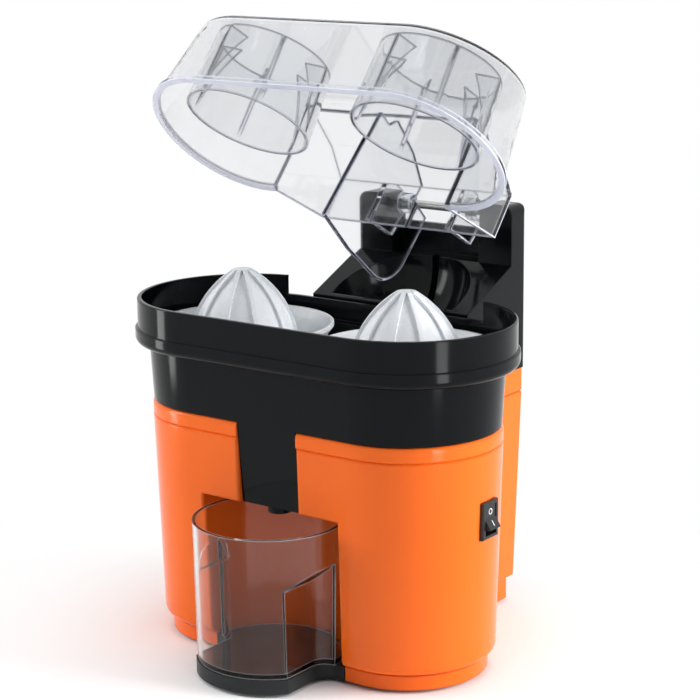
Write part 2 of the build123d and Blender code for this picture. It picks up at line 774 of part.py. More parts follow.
for name, side in sides.items():
    spot = (side * idler_x, idler_y)
    idler_phase = meshed_phase((0, reduction_y), drive_teeth, 0.0, spot, idler_teeth)
    with BuildPart() as idler_gear:
        extrude(gear_plan(gear_low_z, idler_teeth, coarse_module, *spot, idler_phase),
                amount=gear_top_z - gear_low_z)
        with Locations((*spot, gear_low_z)):
            Cylinder(idler_axle_radius + running_gap, tall, mode=Mode.SUBTRACT)
    save(idler_gear.part, f"idler_gear_{name}")
    reamer_phase = meshed_phase(spot, idler_teeth, idler_phase, (side * lobe_x, 0), reamer_teeth)
    with BuildPart() as reamer_gear:
        extrude(gear_plan(gear_low_z, reamer_teeth, coarse_module, side * lobe_x, 0, reamer_phase),
                amount=gear_top_z - gear_low_z)
        with Locations((side * lobe_x, 0, gear_low_z - hub_gap)):
            Cylinder(gear_hub, gear_top_z - gear_low_z + 2 * hub_gap, align=ON_BASE)
        with Locations((side * lobe_x, 0, gear_low_z)):
            with PolarLocations(gear_hole_reach, gear_holes):
                Cylinder(gear_hole_radius, tall, mode=Mode.SUBTRACT)
        with Locations((side * lobe_x, 0, gear_low_z)):
            Cylinder(shaft_radius, tall, mode=Mode.SUBTRACT)
    save(reamer_gear.part, f"reamer_gear_{name}")
    save(rod(idler_axle_radius, plate_z, gear_top_z + hub_gap / 2, *spot), f"idler_axle_{name}")
save(rod(reduction_axle_radius, plate_z, fine_top_z + 2 * hub_gap, 0, reduction_y), "reduction_axle")

# Gear plate, held to the deck's pillars
with BuildPart() as gear_plate:
    with Locations((0, plate_front, plate_z)):
        Box(2 * plate_half, plate_middle - plate_front, gear_plate_height,
            align=(Align.CENTER, Align.MIN, Align.MIN))
        Box(2 * plate_rear_half, plate_back - plate_front, gear_plate_height,
            align=(Align.CENTER, Align.MIN, Align.MIN))
    arm_middle = (plate_half + plate_arm_inner) / 2
    with Locations((-arm_middle, plate_arm_front, plate_z), (arm_middle, plate_arm_front, plate_z)):
        Box(plate_half - plate_arm_inner, plate_front - plate_arm_front, gear_plate_height,
            align=(Align.CENTER, Align.MIN, Align.MIN))
    fillet(gear_plate.edges().filter_by(Axis.Z), plate_corner)
    with Locations((idler_x, idler_y, plate_z), (-idler_x, idler_y, plate_z)):
        Cylinder(stand_radius, gear_low_z - slip - plate_z, align=ON_BASE)
        Cylinder(idler_axle_radius, tall, mode=Mode.SUBTRACT)
    with Locations((0, reduction_y, plate_z)):
        Cylinder(stand_radius, gear_low_z - hub_gap - slip - plate_z, align=ON_BASE)
        Cylinder(reduction_axle_radius, tall, mode=Mode.SUBTRACT)
    with Locations((-lobe_x, 0, plate_z), (lobe_x, 0, plate_z)):
        Cylinder(bush_radius, tall, mode=Mode.SUBTRACT)
    with Locations((0, motor_y, plate_z)):
        Cylinder(bearing_radius, tall, mode=Mode.SUBTRACT)
    with Locations((0, motor_y, plate_z)):
        with GridLocations(2 * bolt_half, 2 * bolt_half, 2, 2):
            Cylinder(bolt_radius, tall, mode=Mode.SUBTRACT)
    with Locations([(x, y, plate_z) for x, y in pillar_spots]):
        Cylinder(screw_radius + screw_slip, tall, mode=Mode.SUBTRACT)
save(gear_plate.part, "gear_plate")
save(screws(pillar_spots, plate_z - screw_head_height, plate_z, plate_top + plate_screw_reach),
     "plate_screws")
save(screws(cover_screw_spots, riser_low - screw_head_height, riser_low, cover_boss_top - wall),
     "cover_screws")

# Motor
with BuildPart() as motor_pinion:
    extrude(gear_plan(fine_low_z - hub_gap, pinion_teeth, fine_module, 0, motor_y, pinion_phase),
            amount=fine_top_z - fine_low_z + 2 * hub_gap)
    with Locations((0, motor_y, fine_low_z)):
        Cylinder(motor_shaft_radius, tall, mode=Mode.SUBTRACT)
save(motor_pinion.part, "motor_pinion")
save(rod(motor_shaft_radius, motor_shaft_low, motor_shaft_top, 0, motor_y), "motor_shaft")

with BuildPart() as armature:
    with Locations((0, motor_y, stack_low_z)):
        Cylinder(armature_radius, stack_top_z - stack_low_z, align=ON_BASE)
        with PolarLocations(armature_radius - armature_slot_depth / 2 + slip, armature_slots):
            Box(armature_slot_depth, armature_slot_width, tall, mode=Mode.SUBTRACT)
    with Locations((0, motor_y, stack_low_z)):
        Cylinder(motor_shaft_radius, tall, mode=Mode.SUBTRACT)
save(armature.part, "armature")
save(ring(commutator_radius, motor_shaft_radius, commutator_low_z, commutator_top_z, 0, motor_y),
     "commutator")

coil_middle = (coil_inner + coil_outer) / 2
with BuildPart() as motor_stator:
    with BuildSketch(Plane.XY.offset(stack_low_z)):
        with Locations((0, motor_y)):
            RectangleRounded(2 * stator_half, 2 * stator_half, stator_corner)
            Circle(armature_radius + air_gap, mode=Mode.SUBTRACT)
        with Locations((coil_middle, motor_y), (-coil_middle, motor_y)):
            Rectangle(coil_outer - coil_inner, 2 * coil_half, mode=Mode.SUBTRACT)
        with Locations((0, motor_y)):
            with GridLocations(2 * bolt_half, 2 * bolt_half, 2, 2):
                Circle(bolt_radius, mode=Mode.SUBTRACT)
    extrude(amount=stack_top_z - stack_low_z)
save(motor_stator.part, "motor_stator")

with BuildPart() as field_coils:
    for side in sides.values():
        with Locations((side * coil_middle, motor_y, stack_low_z - coil_end)):
            Box(coil_outer - coil_inner, 2 * coil_half, stack_top_z - stack_low_z + 2 * coil_end,
                align=ON_BASE)
    fillet(field_coils.edges().filter_by(Axis.X), coil_end / 2)
save(field_coils.part, "field_coils")


def motor_bracket(low, bearing, post_low, post_high):
    """A round end bracket with a bearing seat and four posts against the stack."""
    with BuildPart() as piece:
        with Locations((0, motor_y, low)):
            Cylinder(bracket_radius, bracket_height, align=ON_BASE)
        with Locations((0, motor_y, post_low)):
            with GridLocations(2 * bolt_half, 2 * bolt_half, 2, 2):
                Cylinder(2 * bolt_radius, post_high - post_low, align=ON_BASE)
        with Locations((0, motor_y, low)):
            Cylinder(bearing, tall, mode=Mode.SUBTRACT)
            with GridLocations(2 * bolt_half, 2 * bolt_half, 2, 2):
                Cylinder(bolt_radius, tall, mode=Mode.SUBTRACT)
    return piece.part


upper_bracket_top = upper_bracket_z + bracket_height
lower_bracket_top = lower_bracket_z + bracket_height
holder_middle = brush_end - holder_depth / 2
with BuildPart() as motor_lower_bracket:
    add(motor_bracket(lower_bracket_z, bearing_radius, lower_bracket_z, stack_low_z))
    for side in sides.values():
        with Locations((0, motor_y + side * holder_middle, lower_bracket_top)):
            Box(holder_width, holder_depth, brush_high_z + holder_cap - lower_bracket_top, align=ON_BASE)
        with Locations((0, motor_y + side * holder_middle, (brush_low_z + brush_high_z) / 2)):
            Box(2 * brush_half, 2 * holder_depth, brush_high_z - brush_low_z, mode=Mode.SUBTRACT)
save(motor_lower_bracket.part, "motor_lower_bracket")
with BuildPart() as motor_upper_bracket:
    add(motor_bracket(upper_bracket_z, bearing_radius, stack_top_z, plate_z))
save(motor_upper_bracket.part, "motor_upper_bracket")
save(ring(bearing_radius, motor_shaft_radius + running_gap, upper_bracket_z, upper_bracket_top, 0, motor_y),
     "motor_upper_bearing")
save(ring(bearing_radius, motor_shaft_radius + running_gap, lower_bracket_z, lower_bracket_top, 0, motor_y),
     "motor_lower_bearing")
with BuildPart() as carbon_brushes:
    for side in sides.values():
        reach = commutator_radius + slip
        with Locations((0, motor_y + side * (reach + brush_end) / 2, (brush_low_z + brush_high_z) / 2)):
            Box(2 * brush_half, brush_end - reach, brush_high_z - brush_low_z)
save(carbon_brushes.part, "carbon_brushes")
with BuildPart() as motor_bolts:
    with Locations((0, motor_y, lower_bracket_z)):
        with GridLocations(2 * bolt_half, 2 * bolt_half, 2, 2):
            Cylinder(bolt_radius, plate_top - lower_bracket_z, align=ON_BASE)
    with Locations((0, motor_y, lower_bracket_z)):
        with GridLocations(2 * bolt_half, 2 * bolt_half, 2, 2):
            Cylinder(2 * bolt_radius, bolt_head_height, align=(Align.CENTER, Align.CENTER, Align.MAX))
save(motor_bolts.part, "motor_bolts")

# Rear cover with the ramp, the fruit bowl and the hinge ears
ramp_back_z = ramp_front_z + ramp_slope * (tower_front - cover_front)


def cover_side(inset):
    """The cover's side profile under the ramp, drawn in by inset on all sides but the bottom."""
    with BuildSketch(Plane.YZ) as profile:
        with BuildLine():
            Polyline((cover_front + inset, riser_z), (cover_front + inset, ramp_front_z - inset),
                     (tower_front, ramp_back_z - inset), (cover_back - inset, ramp_back_z - inset),
                     (cover_back - inset, riser_z), close=True)
        make_face()
    return profile.sketch


ear_width = cover_half - ear_inner
ear_depth = cover_back - tower_front
ear_middle = (cover_half + ear_inner) / 2
with BuildPart() as cover_block:
    extrude(cover_side(0), amount=cover_half, both=True)
    for side in sides.values():
        with Locations((side * ear_middle, cover_back, riser_z)):
            Box(ear_width, ear_depth, ear_top_z - riser_z, align=(Align.CENTER, Align.MAX, Align.MIN))
    fillet(cover_block.faces().group_by(Axis.Z)[-1].edges().filter_by(Axis.Y), ear_fillet)
    with Locations((0, cover_back, riser_z)):
        Box(2 * ear_inner, cover_back - web_front, web_top_z - riser_z,
            align=(Align.CENTER, Align.MAX, Align.MIN))
    extrude(column(riser_z, cover_half, cover_back, cover_corner), amount=tall, mode=Mode.INTERSECT)

with BuildPart() as bowl_wall:
    with Locations((0, bowl_y, bowl_z)):
        Sphere(bowl_radius + wall)
    with Locations((0, cover_front, pocket_low_z - wall)):
        Box(2 * (pocket_half + wall), pocket_back + wall - cover_front, tall,
            align=(Align.CENTER, Align.MIN, Align.MIN))
    add(cover_block.part, mode=Mode.INTERSECT)

with BuildPart() as rear_cover:
    add(cover_block.part)
    extrude(cover_side(wall), amount=cover_half - wall, both=True, mode=Mode.SUBTRACT)
    for side in sides.values():
        with Locations((side * ear_middle, (tower_front + cover_back) / 2, riser_z)):
            Box(ear_width - 2 * wall, ear_depth - 2 * wall, ear_hollow_top - riser_z, align=ON_BASE,
                mode=Mode.SUBTRACT)
    add(bowl_wall.part)
    with Locations([(x, y, riser_z) for x, y in cover_screw_spots]):
        Cylinder(cover_boss_radius, cover_boss_top - riser_z, align=ON_BASE)
        Cylinder(screw_radius, cover_boss_top - riser_z, align=ON_BASE, mode=Mode.SUBTRACT)
    with BuildPart(mode=Mode.PRIVATE) as bowl:
        with Locations((0, bowl_y, bowl_z)):
            Sphere(bowl_radius)
        with Locations((0, cover_front + wall, bowl_z)):
            Box(tall, tall, tall, align=(Align.CENTER, Align.MIN, Align.CENTER), mode=Mode.INTERSECT)
    add(bowl.part, mode=Mode.SUBTRACT)
    with Locations((0, cover_front, pocket_low_z)):
        Box(2 * pocket_half, 2 * (pocket_back - cover_front), tall, align=ON_BASE, mode=Mode.SUBTRACT)
    with Locations(Plane((0, pin_y, pin_z), x_dir=(0, 1, 0), z_dir=(1, 0, 0))):
        Cylinder(pin_radius, 2 * pin_half, mode=Mode.SUBTRACT)
save(rear_cover.part, "rear_cover")

with BuildPart() as hinge_pin:
    with Locations(Plane((0, pin_y, pin_z), x_dir=(0, 1, 0), z_dir=(1, 0, 0))):
        Cylinder(pin_radius, 2 * pin_half)
save(hinge_pin.part, "hinge_pin")

# Clear lid, drawn closed and then swung up about the pin
hinge_axis = Axis((0, pin_y, pin_z), (1, 0, 0))
tilt = math.radians(lid_tilt)
top_plane = Plane((0, lid_top_y, lid_top_z), x_dir=(1, 0, 0), z_dir=(0, -math.sin(tilt), math.cos(tilt)))


def lid_form(inset):
    """The lid's closed form, drawn in by inset except at its open underside."""
    below = 1.0 if inset else 0.0
    with BuildPart() as form:
        with BuildSketch(Plane.XY.offset(lid_rim_z)):
            SlotCenterToCenter(2 * lid_rim_s, 2 * (lid_rim_radius - inset))
        with BuildSketch(top_plane.offset(-inset)):
            SlotCenterToCenter(2 * lid_top_s, 2 * (lid_top_radius - inset))
        loft()
        fillet(form.faces().sort_by(Axis.Z)[-1].edges(), lid_top_fillet - inset)
        if inset:
            extrude(stadium(lid_rim_z - below, lid_rim_radius - inset, lid_rim_s), amount=below)
        corner, foot, back, crest, front = rear_line
        with BuildSketch(Plane.YZ):
            with BuildLine():
                Polyline((front[0], lid_rim_z - below), (corner[0], lid_rim_z - below),
                         (foot[0] - inset, foot[1] - below), (back[0] - inset, back[1] - inset),
                         (crest[0], crest[1] - inset), (front[0], front[1] - inset), close=True)
            make_face()
        extrude(amount=lid_rear_half - inset, both=True)
    return form.part


with BuildPart() as lid:
    add(lid_form(0))
    extrude(stadium(lid_rim_z, lid_rim_radius + lid_bead, lid_rim_s), amount=lid_bead_height)
    add(lid_form(lid_skin), mode=Mode.SUBTRACT)
    for side in sides.values():
        with BuildSketch(Plane.YZ.offset(side * (arm_inner + arm_outer) / 2)):
            with BuildLine():
                Polyline(*arm_line, close=True)
            make_face()
        extrude(amount=(arm_outer - arm_inner) / 2, both=True)
        knuckle_middle = (side * (knuckle_inner + arm_outer) / 2, pin_y, pin_z)
        with Locations(Plane(knuckle_middle, x_dir=(0, 1, 0), z_dir=(1, 0, 0))):
            Cylinder(knuckle_radius, arm_outer - knuckle_inner)
    with Locations(Plane((0, pin_y, pin_z), x_dir=(0, 1, 0), z_dir=(1, 0, 0))):
        Cylinder(pin_radius + running_gap, tall, mode=Mode.SUBTRACT)
    with Locations((0, lid_slot_y, lid_slot_z)):
        Box(2 * blade_half, lid_slot_depth, lid_slot_height, align=ON_BASE, mode=Mode.SUBTRACT)
save(lid.part.rotate(hinge_axis, -lid_open_angle), "lid")


def under_lid(y):
    """Height of the underside of the lid's rear part at y, on the closed lid."""
    back, crest, front = rear_line[2:]
    low, high = (crest, front) if y < crest[0] else ((back[0] - lid_skin, back[1]), crest)
    slope = (high[1] - low[1]) / (high[0] - low[0])
    return low[1] + slope * (y - low[0]) - lid_skin


crest_y = rear_line[3][0]
with BuildPart() as cutter_blade:
    with BuildSketch(Plane.YZ):
        with BuildLine():
            Polyline((blade_back, blade_arc_z), (blade_back, blade_tail_z), (blade_tail_y, blade_tail_z),
                     (blade_tail_y, under_lid(blade_tail_y)), (crest_y, under_lid(crest_y)),
                     (blade_root_y, under_lid(blade_root_y)), (blade_shoulder_y, blade_top_z),
                     (blade_front, blade_top_z), (blade_front, blade_low_z), (blade_toe_y, blade_low_z),
                     (blade_heel_y, blade_heel_z))
            ThreePointArc((blade_heel_y, blade_heel_z), blade_arc_middle, (blade_back, blade_arc_z))
        make_face()
    extrude(amount=blade_half, both=True)
    lower_edges = [e for e in cutter_blade.edges() if e.center().Z < blade_arc_z
                   and abs(e.center().X) > blade_half - near_enough and e.center().Y > blade_front + 1]
    chamfer(lower_edges, blade_bevel)
save(cutter_blade.part.rotate(hinge_axis, -lid_open_angle), "cutter_blade")


def press_cup(x):
    """A pressing cup with inner ribs, which hangs from the underside of the lid's top."""
    height = cup_drop - lid_skin
    inner = cup_ring_radius - cup_ring_wall
    with BuildPart() as piece:
        with BuildSketch(top_plane.offset(-cup_drop)):
            with Locations((x, cup_offset)):
                Circle(cup_ring_radius)
        extrude(amount=height, taper=cup_draft)
        with BuildSketch(top_plane.offset(-cup_drop)):
            with Locations((x, cup_offset)):
                Circle(inner)
        extrude(amount=height, taper=cup_draft, mode=Mode.SUBTRACT)
        for turn in range(cup_ribs):
            angle = math.radians(360 / cup_ribs * turn + cup_rib_turn)
            out = Vector(math.cos(angle), math.sin(angle), 0)
            root = top_plane.offset(-cup_drop).from_local_coords(Vector(x, cup_offset, 0))
            along = top_plane.from_local_coords(out) - top_plane.origin
            across = top_plane.z_dir.cross(along) * -1
            with BuildSketch(Plane(root, x_dir=along, z_dir=across)):
                with BuildLine():
                    Polyline((inner, cup_rib_foot), (inner, height), (cup_rib_reach, height))
                    ThreePointArc((cup_rib_reach, height), cup_rib_bow, (inner, cup_rib_foot))
                make_face()
            extrude(amount=cup_rib_width / 2, both=True)
    return piece.part


for name, side in sides.items():
    save(press_cup(side * cup_spacing).rotate(hinge_axis, -lid_open_angle), f"press_cup_{name}")


# Clear juice cup with a finger grip in each side
def cup_form(inset, low):
    """The cup's form, drawn in by inset and standing on the level low."""
    with BuildPart() as form:
        with BuildSketch(Plane.XY.offset(low)):
            with Locations((0, cup_y)):
                Circle(cup_low_radius - inset)
        extrude(amount=cup_rim_z - low, taper=-juice_cup_draft)
        for side in sides.values():
            near = side * (grip_half - inset)
            far = side * (grip_half + grip_reach)
            with BuildPart(mode=Mode.PRIVATE) as grip:
                with BuildSketch(Plane.XZ.offset(-grip_back - inset)):
                    with BuildLine():
                        Polyline((near, -1), (near, grip_top_z), (far, grip_far_z), (far, -1), close=True)
                    make_face()
                extrude(amount=grip_back - grip_front)
                uprights = grip.edges().filter_by(Axis.Z)
                inner_pair = uprights.filter_by_position(Axis.X, near - near_enough, near + near_enough)
                fillet(inner_pair.sort_by(Axis.Y)[-1:], grip_corner)
            add(grip.part, mode=Mode.SUBTRACT)
    return form.part


with BuildPart() as juice_cup:
    add(cup_form(0, cup_low_z))
    add(cup_form(cup_skin, cup_low_z + cup_skin), mode=Mode.SUBTRACT)
save(juice_cup.part, "juice_cup")

# Rocker switch: housing with its bezel, the rocker and the terminals
with BuildPart() as switch_housing:
    with Locations((switch_seat_x, switch_y, switch_z)):
        Box(bezel_depth, bezel_width, bezel_height, align=(Align.MIN, Align.CENTER, Align.CENTER))
    fillet(switch_housing.faces().sort_by(Axis.X)[-1].edges(), bezel_fillet)
    with Locations((switch_seat_x, switch_y, switch_z)):
        Box(switch_seat_x - housing_back_x, housing_width, housing_height,
            align=(Align.MAX, Align.CENTER, Align.CENTER))
    with Locations((opening_back_x, switch_y, switch_z)):
        Box(tall, opening_width, opening_height, align=(Align.MIN, Align.CENTER, Align.CENTER),
            mode=Mode.SUBTRACT)
    with Locations(Plane((rocker_pivot_x, switch_y, switch_z), x_dir=(1, 0, 0), z_dir=(0, 1, 0))):
        Cylinder(trunnion_radius + running_gap, housing_width, mode=Mode.SUBTRACT)
save(switch_housing.part, "switch_housing")

face_end = rocker_face + rocker_half_height * math.tan(math.radians(rocker_angle))
rocker_outline = [(rocker_face, 0), (face_end, rocker_half_height), (rocker_heel, rocker_half_height),
                  (-rocker_root, rocker_root_half), (-rocker_root, -rocker_root_half),
                  (rocker_heel, -rocker_half_height), (face_end, -rocker_half_height)]
with BuildPart() as switch_rocker:
    with BuildSketch(Plane.XZ.offset(-switch_y)):
        with BuildLine():
            Polyline(*[(rocker_pivot_x + u, switch_z + v) for u, v in rocker_outline], close=True)
        make_face()
    extrude(amount=rocker_half_width, both=True)
    with Locations(Plane((rocker_pivot_x, switch_y, switch_z), x_dir=(1, 0, 0), z_dir=(0, 1, 0))):
        Cylinder(trunnion_radius, 2 * trunnion_reach)
rocker_axis = Axis((rocker_pivot_x, switch_y, switch_z), (0, 1, 0))
save(switch_rocker.part.rotate(rocker_axis, -rocker_angle), "switch_rocker")

with BuildPart() as switch_terminals:
    with Locations([(housing_back_x, switch_y, switch_z + step * terminal_pitch) for step in (-1, 0, 1)]):
        Box(*terminal_size, align=(Align.MAX, Align.CENTER, Align.CENTER))
save(switch_terminals.part, "switch_terminals")

# Cable gland
with BuildPart() as cable_gland:
    with Locations(Plane((gland_x, gland_seat_y, gland_z), x_dir=(1, 0, 0), z_dir=(0, 1, 0))):
        Cylinder(gland_flange_radius, gland_flange_height, align=ON_BASE)
        Cylinder(gland_radius, gland_depth, align=(Align.CENTER, Align.CENTER, Align.MAX))
        Cylinder(gland_bore, tall, mode=Mode.SUBTRACT)
save(cable_gland.part, "cable_gland")
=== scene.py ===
"""Looks for the double citrus press: materials, switch marks, studio and camera."""
import json
import math

import bmesh
import bpy
from mathutils import Matrix, Vector


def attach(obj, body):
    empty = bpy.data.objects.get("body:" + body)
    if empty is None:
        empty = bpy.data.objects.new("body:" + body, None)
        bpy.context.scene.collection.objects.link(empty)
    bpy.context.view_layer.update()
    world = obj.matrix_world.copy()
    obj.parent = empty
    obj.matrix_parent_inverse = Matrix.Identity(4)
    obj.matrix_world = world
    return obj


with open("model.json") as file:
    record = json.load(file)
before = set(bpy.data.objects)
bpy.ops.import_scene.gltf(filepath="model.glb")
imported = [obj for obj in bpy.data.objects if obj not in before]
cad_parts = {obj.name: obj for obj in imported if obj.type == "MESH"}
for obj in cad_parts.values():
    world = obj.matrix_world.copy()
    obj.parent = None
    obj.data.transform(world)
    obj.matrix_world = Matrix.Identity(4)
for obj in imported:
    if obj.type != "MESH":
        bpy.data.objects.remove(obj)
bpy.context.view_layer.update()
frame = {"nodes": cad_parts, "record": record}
nodes = frame["nodes"]
subparts = frame["record"]["subparts"]

MM = 0.001

# Camera: image pixels, degrees and millimetres
IMAGE_SIZE = 700
FOCAL_PX = 2110.25
CENTRE_PX = (354.4, 349.2)
AZIMUTH = 36.305
ELEVATION = 13.262
ROLL = -0.54
DISTANCE = 1168.85
AIM = Vector((21.83, 0.0, 177.16))
SENSOR = 36.0

# Floor: metres, with the distances between which it fades to white
FLOOR_Z = 0.0
FLOOR_HALF = 30.0
FLOOR_COLOR = (0.96, 0.96, 0.96)
FLOOR_ROUGH = 0.8
FLOOR_GLOSS = 0.1
FADE_NEAR = 0.06
FADE_FAR = 0.32

# Sky: brightness at the horizon and above the height where it is full
SKY_LEVELS = (0.09, 0.36)
SKY_HEIGHTS = (0.0, 0.8)

# Lamps: metres and watts
BODY_AIM = (0, 0, 0.15)
SOFTBOXES = {
    "left": {"place": (-1.0, -0.6, 0.6), "aim": BODY_AIM, "size": (0.7, 0.9), "power": 11.5},
    "right": {"place": (1.1, 0.42, 0.45), "aim": BODY_AIM, "size": (0.7, 0.9), "power": 21},
    "top": {"place": (0.1, 0.0, 1.25), "aim": (0, 0, 0.2), "size": (0.9, 0.6), "power": 7},
}
STREAK_SIZE = (0.1, 0.5)
STREAK_POWER = 1.3
STREAKS = {
    "streak_left": {"place": (-0.476, -0.28, 0.22), "aim": (-0.061, 0, 0.16)},
    "streak_right": {"place": (0.528, -0.18, 0.22), "aim": (0.061, 0, 0.16)},
}
STREAK_SLOTS = ("orange_plastic", "black_plastic")
STREAK_NODES = ("press_cup_left", "press_cup_right")

# Colours of the plastics and metals
ORANGE = (0.9, 0.143, 0.009)
BLACK = (0.0035, 0.0045, 0.0053)
WHITE = (0.80, 0.83, 0.86)
DARK_GREY = (0.02, 0.023, 0.024)
NYLON = (0.72, 0.69, 0.60)
STEEL = (0.66, 0.65, 0.63)
ZINC = (0.55, 0.56, 0.58)
IRON = (0.24, 0.24, 0.26)
COPPER = (0.74, 0.34, 0.16)
BRONZE = (0.63, 0.45, 0.2)
CARBON = (0.03, 0.03, 0.033)
RUBBER = (0.022, 0.022, 0.023)
SWITCH_BLACK = (0.014, 0.014, 0.015)
MARK_WHITE = (0.8, 0.8, 0.78)

# Tints of clear plastic on its faces and through its depth, and the painted edge light laid along
# its edges in place of the light they catch
FACE_TINT = (0.905, 0.913, 0.922)
PAINTED_EDGE_LIGHT = (0.74, 0.77, 0.89)
CUP_FACE_TINT = (0.93, 0.93, 0.93)
CUP_PAINTED_EDGE_LIGHT = (0.72, 0.73, 0.76)
BLADE_PAINTED_EDGE_LIGHT = (0.42, 0.46, 0.68)
DEPTH_TINT = (0.30, 0.33, 0.48)

# Noise patterns: repeats per metre, number of finer layers and their strength
DRIFT = {"scale": 14.0}
RUBBED = {"scale": 45.0, "detail": 5.0, "roughness": 0.65}
CLEAR_DRIFT = {"scale": 9.0, "detail": 2.0}
CLEAR_RUBBED = {"scale": 60.0, "detail": 4.0, "roughness": 0.6}
FLOW_MARKS = {"scale": 26.0, "detail": 1.0}
DRAWN_LINES = {"scale": 60.0, "detail": 6.0, "roughness": 0.7}
GRAIN_DETAIL = 2.0

# How far each pattern scales a value down and up
ROUGH_SPAN = (0.8, 1.25)
CLEAR_ROUGH_SPAN = (0.6, 1.6)
FACE_SPAN = (0.985, 1.0)
EDGE_SPAN = (0.95, 1.0)
METAL_SPAN = (0.85, 1.1)
METAL_ROUGH_SPAN = (0.75, 1.3)

# Relief as strength and depth in metres
FLOW_RELIEF = (0.05, 0.0004)
LINE_RELIEF = (0.1, 0.00003)

# Places of the two colours and the result on a Mix node that mixes colours
MIX_FIRST = 6
MIX_SECOND = 7
MIX_RESULT = 2

# Shader settings
PLASTIC_IOR = 1.5
EASED_SAMPLES = 4
MASK_SAMPLES = 6
MASK_COSINES = (0.999, 0.9)
MILKY_SPREAD = 0.02
MILKY_EDGE = 0.0004
SUBSURFACE = {
    "Subsurface Weight": 0.25,
    "Subsurface Radius": (0.004, 0.004, 0.004),
    "Subsurface Scale": 0.6,
}

# Lid: hinge, opening angle, and its rim's level and sloping planes as slope and depth when closed,
# on which painted edge light covers the rim face
HINGE = (0.0, 0.117, 0.2385)
LID_OPEN = math.radians(46.0)
RIM_RISE = 18.0
RIM_RUN = 50.5
RIM_PLANES = ((0.0, 0.048), (math.atan2(RIM_RISE, RIM_RUN), 0.02204))
RIM_SLACK = 0.0003

# Rocker switch and its two raised marks
ROCKER_PIVOT = Vector((106.0, 2.0, 94.0)) * MM
ROCKER_TILT = math.radians(-16.0)
ROCKER_SLOPE = math.radians(16.0)
ROCKER_FACE = 4.5 * MM
MARK_OFFSET = 3.4 * MM
MARK_HEIGHT = 0.12 * MM
RING_RADII = (1.7 * MM, 1.25 * MM)
RING_POINTS = 48
BAR_HALF = (0.25 * MM, 1.6 * MM)


def add_object(name, data):
    """A new object in the scene."""
    thing = bpy.data.objects.new(name, data)
    bpy.context.scene.collection.objects.link(thing)
    return thing


def axes_matrix(x_axis, y_axis, z_axis, centre):
    """A matrix with these axes and this centre."""
    matrix = Matrix.Identity(4)
    for column, axis in enumerate((x_axis, y_axis, z_axis)):
        matrix.col[column] = (*axis, 0)
    matrix.col[3] = (*centre, 1)
    return matrix


def rectangle(half_x, half_y):
    """The corners of a rectangle round the origin."""
    return [(-half_x, -half_y), (half_x, -half_y), (half_x, half_y), (-half_x, half_y)]


def circle(radius):
    """Points round the origin."""
    turns = [2 * math.pi * i / RING_POINTS for i in range(RING_POINTS)]
    return [(radius * math.cos(turn), radius * math.sin(turn)) for turn in turns]


def link(tree, source, target):
    tree.links.new(source, target)


def combine(tree, operation, first, second):
    """Two masks put together by a math operation, kept between 0 and 1."""
    node = tree.nodes.new("ShaderNodeMath")
    node.operation = operation
    node.use_clamp = True
    link(tree, first, node.inputs[0])
    link(tree, second, node.inputs[1])
    return node.outputs["Value"]


def new_material(name):
    """A node material with a principled shader, and its tree and shader."""
    material = bpy.data.materials.new(name)
    material.use_nodes = True
    tree = material.node_tree
    return material, tree, tree.nodes["Principled BSDF"]


def noise(tree, scale, detail=3.0, roughness=0.5, stretch=(1, 1, 1)):
    """Noise in object space, per metre."""
    where = tree.nodes.new("ShaderNodeTexCoord")
    mapping = tree.nodes.new("ShaderNodeMapping")
    mapping.inputs["Scale"].default_value = stretch
    texture = tree.nodes.new("ShaderNodeTexNoise")
    texture.inputs["Scale"].default_value = scale
    texture.inputs["Detail"].default_value = detail
    texture.inputs["Roughness"].default_value = roughness
    link(tree, where.outputs["Object"], mapping.inputs["Vector"])
    link(tree, mapping.outputs["Vector"], texture.inputs["Vector"])
    return texture.outputs["Fac"]


def ramp(tree, fac, low, high, start=0.3, end=0.7):
    """A colour ramp between two colours or two grey levels."""
    node = tree.nodes.new("ShaderNodeValToRGB")
    for element, place, value in zip(node.color_ramp.elements, (start, end), (low, high)):
        element.position = place
        element.color = (*value, 1.0) if hasattr(value, "__len__") else (value, value, value, 1.0)
    link(tree, fac, node.inputs["Fac"])
    return node.outputs["Color"]


def swing(value, span):
    """A colour or a number scaled to both ends of a span."""
    if hasattr(value, "__len__"):
        return [tuple(min(1.0, part * factor) for part in value) for factor in span]
    return [value * factor for factor in span]


def bump(tree, shader, height, strength, depth, edge=0.0):
    """Surface relief, with the solid's sharp edges eased by the radius edge."""
    node = tree.nodes.new("ShaderNodeBump")
    node.inputs["Strength"].default_value = strength
    node.inputs["Distance"].default_value = depth
    link(tree, height, node.inputs["Height"])
    if edge:
        eased = tree.nodes.new("ShaderNodeBevel")
        eased.samples = EASED_SAMPLES
        eased.inputs["Radius"].default_value = edge
        link(tree, eased.outputs["Normal"], node.inputs["Normal"])
    link(tree, node.outputs["Normal"], shader.inputs["Normal"])


def moulded(name, color, rough, spread=0.05, grain=900.0, grain_depth=0.00002, strength=0.12,
            gloss=0.5, edge=0.0):
    """Moulded plastic: slight colour drift, roughness that varies and a fine surface grain."""
    material, tree, shader = new_material(name)
    drift = noise(tree, **DRIFT)
    drifted = ramp(tree, drift, *swing(color, (1 - spread, 1 + spread)))
    link(tree, drifted, shader.inputs["Base Color"])
    rubbed = ramp(tree, noise(tree, **RUBBED), *swing(rough, ROUGH_SPAN))
    link(tree, rubbed, shader.inputs["Roughness"])
    bump(tree, shader, noise(tree, grain, GRAIN_DETAIL), strength, grain_depth, edge)
    shader.inputs["IOR"].default_value = PLASTIC_IOR
    shader.inputs["Specular IOR Level"].default_value = gloss
    return material


def milky(name, color, rough):
    """White food-grade plastic that lets a little light through."""
    material = moulded(name, color, rough, spread=MILKY_SPREAD, edge=MILKY_EDGE)
    shader = material.node_tree.nodes["Principled BSDF"]
    for socket, value in SUBSURFACE.items():
        shader.inputs[socket].default_value = value
    return material


